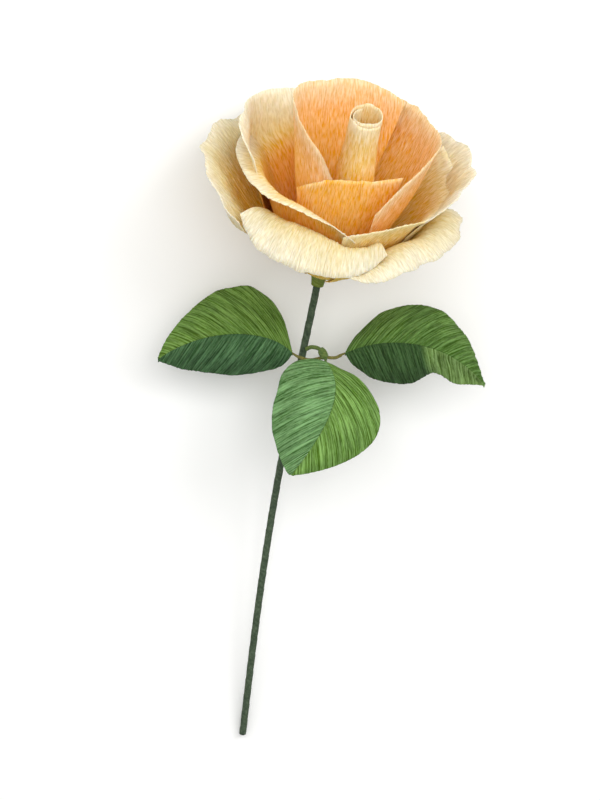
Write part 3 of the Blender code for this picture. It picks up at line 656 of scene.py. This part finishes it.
for number, leaf in enumerate(leaves):
    for half in range(2):
        columns, rows = leafLook["columns"], leafLook["rows"]
        points = netOf(columns - 1, rows - 1, lambda a, b: bladePoint(leaf, half, a, b))
        s = np.linspace(0, 1, columns)[None, :] * np.ones((rows, 1))
        t = np.linspace(0, 1, rows)[:, None] * np.ones((1, columns))
        fromSeam = np.linalg.norm(points - points[:1], axis=2) / mm
        length = np.linalg.norm(np.diff(points[0], axis=0), axis=1).sum() / mm
        across = s * length + 40 - leafSlants[leaf["name"]][half] * fromSeam * (1 - 0.35 * s)
        along = fromSeam * 1.25 + 3 * s
        seed = leafSeeds["step"] * number + half
        crest = crepeRelief(leafSeeds["crepe"] + seed, across, along, leafLook["pitch"])
        fade = np.clip(t * rows / 2, 0.3, 1) * np.clip(s * 12, 0, 1)
        normals = netNormals(points)
        outward = points[-1:] - points[:1]
        outward = outward / np.maximum(np.linalg.norm(outward, axis=2, keepdims=True), mm)
        nearBase = np.clip(s * 8, 0, 1)
        uneven = lattice(leafSeeds["edge"] + seed, s * length / 7, s * 0)
        uneven = uneven * leafLook["edge"] * t * t * nearBase
        swell = lattice(leafSeeds["swell"] + seed, s * length / 16, t * 2) * leafLook["swell"] * t * nearBase
        points = points + outward * uneven[:, :, None]
        points = points + normals * (crest * leafLook["relief"] * fade + swell)[:, :, None]
        dark, pale = leafDyesAndShade[(leaf["name"], half)]
        slow = lattice(leafSeeds["shade"] + number, s * 4, t * 3)
        shade = dyeAt(((0.0, dark), (1.0, pale)), np.clip(0.5 + 0.3 * slow, 0, 1))
        # painted light on the raised crepe ribs and painted shade between them
        shade = shade * (1 + 0.4 * crest[:, :, None])
        # painted light: the turned-over tip of the right leaf's lower half gets the paler green of the lit
        # upper half, with painted light on its crepe crests
        if (leaf["name"], half) == foldedTip["half"]:
            folded = np.clip((s - foldedTip["start"] - foldedTip["slope"] * t) / foldedTip["soft"], 0, 1)
            turned = np.array(linear(foldedTip["dyeAndShade"])) * (1 + 0.3 * crest[:, :, None])
            shade = shade * (1 - folded[:, :, None]) + turned * folded[:, :, None]
            lift = folded * np.sin(math.pi * t) * np.clip((1 - s) * 8, 0, 1) * foldedTip["lift"]
            points = points + normals * lift[:, :, None]
        cadName = f"{leaf['name']}_{leaf['names'][half]}"
        made = sheetObject("paper_" + cadName, points, shade, np.stack([across, along], axis=-1), leafPaper)
        declare(made, cadName, slotName="leaf")
print("leaves dressed")


# wires and wound tape
mottle = 900  # waves of the tape's mottling in a metre


def sweptObject(name, path, pieces, radius, sides, dyeAndShade, material, wall=None):
    places = [path(k / pieces) for k in range(pieces + 1)]
    ways = [(places[min(k + 1, pieces)] - places[max(k - 1, 0)]).normalized() for k in range(pieces + 1)]
    aside = ways[0].orthogonal().normalized()
    frames = []
    for way in ways:
        aside = (aside - way * aside.dot(way)).normalized()
        frames.append((aside.copy(), way.cross(aside)))
    length = sum((b - a).length for a, b in zip(places, places[1:])) / mm
    shape = bmesh.new()
    bmesh.ops.create_grid(shape, x_segments=sides, y_segments=pieces, size=1)
    uvLayer = shape.loops.layers.uv.new("grain")
    spots = {}
    for vertex in shape.verts:
        i = round((vertex.co.x + 1) / 2 * sides)
        k = round((vertex.co.y + 1) / 2 * pieces)
        spots[vertex] = (i, k)
    for face in shape.faces:
        for loop in face.loops:
            i, k = spots[loop.vert]
            around = 2 * math.pi * radius(k / pieces, 0) / mm * i / sides
            loop[uvLayer].uv = (k / pieces * length + around * 0.6, around)
    for vertex, (i, k) in spots.items():
        turn = 2 * math.pi * i / sides
        reach = radius(k / pieces, i / sides)
        first, second = frames[k]
        vertex.co = places[k] + first * (reach * math.cos(turn)) + second * (reach * math.sin(turn))
    bmesh.ops.remove_doubles(shape, verts=shape.verts, dist=2e-6)
    if wall is None:
        bmesh.ops.holes_fill(shape, edges=[e for e in shape.edges if e.is_boundary], sides=0)
    bmesh.ops.recalc_face_normals(shape, faces=shape.faces)
    mesh = bpy.data.meshes.new(name)
    shape.to_mesh(mesh)
    shape.free()
    mesh.transform(Matrix.Translation(layShift) @ layTurn.to_4x4())
    mesh.shade_smooth()
    if dyeAndShade:
        paint = mesh.color_attributes.new("dyeAndShade", "FLOAT_COLOR", "POINT")
        low, high = np.array(linear(dyeAndShade[0])), np.array(linear(dyeAndShade[1]))
        values = []
        for vertex in mesh.vertices:
            share = 0.5 + 0.5 * noise.noise(vertex.co * mottle)
            values += [*(low + (high - low) * min(1, max(0, share))), 1]
        paint.data.foreach_set("color", values)
    mesh.materials.append(material)
    made = bpy.data.objects.new(name, mesh)
    bpy.context.scene.collection.objects.link(made)
    if wall is not None:
        solid = made.modifiers.new("thickness", "SOLIDIFY")
        solid.thickness = wall
        solid.offset = -1
        solid.use_even_offset = False
    return made


def stemPlace(t):
    total = stem["length"] + stem["inBloom"]
    along = t * total - stem["length"]
    soft = stem["softBend"]
    bend = soft * math.log1p(math.exp(along / soft))
    bend -= soft * math.log(2) * math.exp(-((along / soft) ** 2))
    bow = stem["bow"] * math.sin(math.pi * min(1, max(0, -along / stem["length"])))
    return stemUp * (along - bend) + bloomUp * bend + stemRight * bow


def stemAt(along):
    return stemPlace((along + stem["length"]) / (stem["length"] + stem["inBloom"]))


# tape wound up a wire: one edge of each turn stands a little proud, so the middle lies a little inside
tapeInset, thinInset = 0.05 * mm, 0.03 * mm


def woundRadius(size, turns, step, seed):
    def radius(t, around):
        lap = (t * turns + around) % 1.0
        turn = 2 * math.pi * around
        crinkle = noise.noise(Vector((1.4 * math.cos(turn), 1.4 * math.sin(turn), t * turns * 3.1 + seed)))
        return size + step * (lap - 0.5) + 0.35 * step * crinkle
    return radius


stemFoot = -stem["length"] + stem["proud"]
made = sweptObject("steel_stem_wire", stemPlace, 60, lambda t, a: stem["wire"], 24, None, steelWire)
declare(made, "stem_wire", slotName="steel")
wrapTop = collarSize["top"] - clearance
made = sweptObject("tape_stem_wrap", lambda t: stemAt(stemFoot + (wrapTop - stemFoot) * t), 420,
                   woundRadius(stem["wrap"] - tapeInset, 27, 0.16 * mm, 3.0), 28, ("#1C3020", "#54664A"),
                   tapePaper, stem["wrap"] - stem["wire"] - roundClearance - tapeInset)
declare(made, "stem_wrap", slotName="stem")


def collarRadius(t, around):
    flare = collarSize["footRadius"] + (collarSize["topRadius"] - collarSize["footRadius"]) * t**1.5
    pleat = math.sin(2 * math.pi * 17 * around) + 0.5 * math.sin(2 * math.pi * 29 * around + 1)
    return flare + 0.1 * mm * pleat * (0.4 + t)


collarLength = collarSize["top"] - collarSize["foot"]
made = sweptObject("paper_calyx_collar", lambda t: stemAt(collarSize["foot"] + collarLength * t), 16,
                   collarRadius, 120, ("#5A6A14", "#7C8E2C"), tapePaper,
                   collarSize["footRadius"] - stem["wrap"] - roundClearance)
declare(made, "calyx_collar", slotName="collar")
bindingLength = bindingSize["top"] - bindingSize["foot"]
made = sweptObject("tape_petal_binding", lambda t: stemAt(bindingSize["foot"] + bindingLength * t), 24,
                   woundRadius(bindingSize["radius"] - tapeInset, 5, 0.14 * mm, 8.0), 32,
                   ("#5A6A14", "#73842A"), tapePaper, bindingSize["radius"] - stem["wire"] - roundClearance)
declare(made, "petal_binding", slotName="tape")

# the wires of the leaf branch, in millimetres
branchPath = ((-6.0, -33.4, -11.6), (-3.2, -32.4, -9.8), (0.6, -33.6, -9.0), (3.0, -37.6, -8.2))
petiolePaths = {
    "petiole_left": (((0.2, -37.6, -9.8), (-4.0, -38.4, -10.2), (-9.0, -37.2, -11.4)), 0),
    "petiole_right": (((4.75, -37.3, -9.15), (7.6, -37.4, -10.0), (10.0, -36.4, -10.6)), 1),
}
branchLook = {"branch": 1.0 * mm, "petiole": 0.8 * mm, "rib": 0.45 * mm, "joint": 2.0 * mm,
              "rounding": 0.4 * mm, "ribPoints": 5, "reach": 0.86, "tuck": 1.1,
              "dyeAndShade": ("#3B5A22", "#6A7A34")}


def ribPoints(leaf):
    points = []
    for k in range(branchLook["ribPoints"]):
        share = branchLook["reach"] * k / (branchLook["ribPoints"] - 1)
        rib = cubic((leaf["base"], *leaf["midrib"], leaf["tip"]), share)
        points.append((rib.x, rib.y, rib.z - leafLook["ribDepth"] / mm))
    return tuple(points)


def thinnedRadius(size, count, joint, seed):
    wound = woundRadius(0, 40, 0.1 * mm, seed)

    def radius(t, around):
        past = min(1, max(0, t * count - joint))
        return size + (branchLook["rib"] - size) * past + wound(t, around) * (1 - 0.6 * past)
    return radius


branch = branchPath + ribPoints(leaves[2])
joint = len(branchPath) - 1
made = sweptObject("tape_leaf_branch", lambda t: smoothPath(branch, t) * mm, 200,
                   thinnedRadius(branchLook["branch"] - thinInset, len(branch) - 1, joint, 1.0), 20,
                   branchLook["dyeAndShade"], tapePaper)
declare(made, "leaf_branch", slotName="tape")


def jointRadius(t, around):
    turn = 2 * math.pi * around
    crinkle = noise.noise(Vector((math.cos(turn) * 3, math.sin(turn) * 3, t * 4)))
    return branchLook["joint"] - branchLook["rounding"] * (2 * t - 1) ** 2 + 0.1 * mm * crinkle


made = sweptObject("tape_leaf_joint_wrap",
                   lambda t: smoothPath(branch, (joint - 1 + t) / (len(branch) - 1)) * mm, 40,
                   jointRadius, 36, branchLook["dyeAndShade"], tapePaper,
                   branchLook["joint"] - branchLook["rounding"] - branchLook["branch"] - roundClearance)
declare(made, "leaf_joint_wrap", slotName="tape")
for name, (path, number) in petiolePaths.items():
    first, second = Vector(path[0]), Vector(path[1])
    tucked = first + (first - second).normalized() * branchLook["tuck"]
    wire = (tucked,) + path[1:] + ribPoints(leaves[number])
    wrapped = thinnedRadius(branchLook["petiole"] - thinInset, len(wire) - 1, len(path) - 1, 2.0)
    made = sweptObject("tape_" + name, lambda t: smoothPath(wire, t) * mm, 200, wrapped, 20,
                       ("#5E5A22", "#7F7A34"), tapePaper)
    declare(made, name, slotName="tape")
print("wires wound")

# floor, light and camera
studio = {"floor": 3.0, "drop": 0.5 * mm, "world": 0.53, "distance": 1.4, "pixel": 0.465 * mm,
          "height": 800, "sensor": 36, "centre": (300, 400), "calyx": (319, 277)}
# place to the right, up and toward the camera in metres, power in watts, size in metres
lamps = {"key": ((0.75, 0.4, 0.9), 6.2, 0.7), "front": ((0.1, 0.2, 1.25), 6.4, 0.8),
         "fill": ((-0.6, 0.5, 0.9), 3.6, 0.9)}
shape = bmesh.new()
bmesh.ops.create_grid(shape, x_segments=1, y_segments=1, size=studio["floor"])
floorMesh = bpy.data.meshes.new("floor")
shape.to_mesh(floorMesh)
shape.free()
floor = bpy.data.objects.new("floor", floorMesh)
bpy.context.scene.collection.objects.link(floor)
floor.location.z = -studio["drop"]
paint, tree, shader = newMaterial("studio paper, white")  # seen as plain white, throws back a little less
seen = node(tree, "ShaderNodeLightPath")
floorColours = {6: (*linear("#E6E6E4"), 1), 7: (1.0, 1.0, 0.985, 1)}
white = node(tree, "ShaderNodeMix", {"data_type": "RGBA", **floorColours},
             {0: seen.outputs["Is Camera Ray"]})
tree.links.new(white.outputs[2], shader.inputs["Base Color"])
shader.inputs["Roughness"].default_value = 0.95
shader.inputs["Specular IOR Level"].default_value = 0.1
floorMesh.materials.append(paint)

world = bpy.data.worlds.new("studio")
bpy.context.scene.world = world
world.use_nodes = True
world.node_tree.nodes["Background"].inputs[0].default_value = (1, 1, 1, 1)
world.node_tree.nodes["Background"].inputs[1].default_value = studio["world"]

standing = {"right": layTurn.col[0], "up": layTurn.col[1], "front": layTurn.col[2]}
offset = Vector((studio["centre"][0] - studio["calyx"][0], studio["calyx"][1] - studio["centre"][1], 0))
centre = offset * studio["pixel"]
aim = layTurn @ centre + layShift
for name, (place, energy, size) in lamps.items():
    lamp = bpy.data.lights.new(name, "AREA")
    lamp.energy = energy
    lamp.size = size
    holder = bpy.data.objects.new(name, lamp)
    bpy.context.scene.collection.objects.link(holder)
    away = standing["right"] * place[0] + standing["up"] * place[1] + standing["front"] * place[2]
    holder.location = aim + away
    holder.rotation_euler = (aim - holder.location).to_track_quat("-Z", "Y").to_euler()

lens = bpy.data.cameras.new("camera")
camera = bpy.data.objects.new("camera", lens)
bpy.context.scene.collection.objects.link(camera)
turn = Matrix((standing["right"], standing["up"], standing["front"])).transposed().to_4x4()
turn.translation = aim + standing["front"] * studio["distance"]
camera.matrix_world = turn
lens.sensor_fit = "VERTICAL"
lens.sensor_height = studio["sensor"]
lens.lens = lens.sensor_height * studio["distance"] / (studio["height"] * studio["pixel"])
bpy.context.scene.camera = camera
bpy.context.scene.view_settings.view_transform = "Standard"
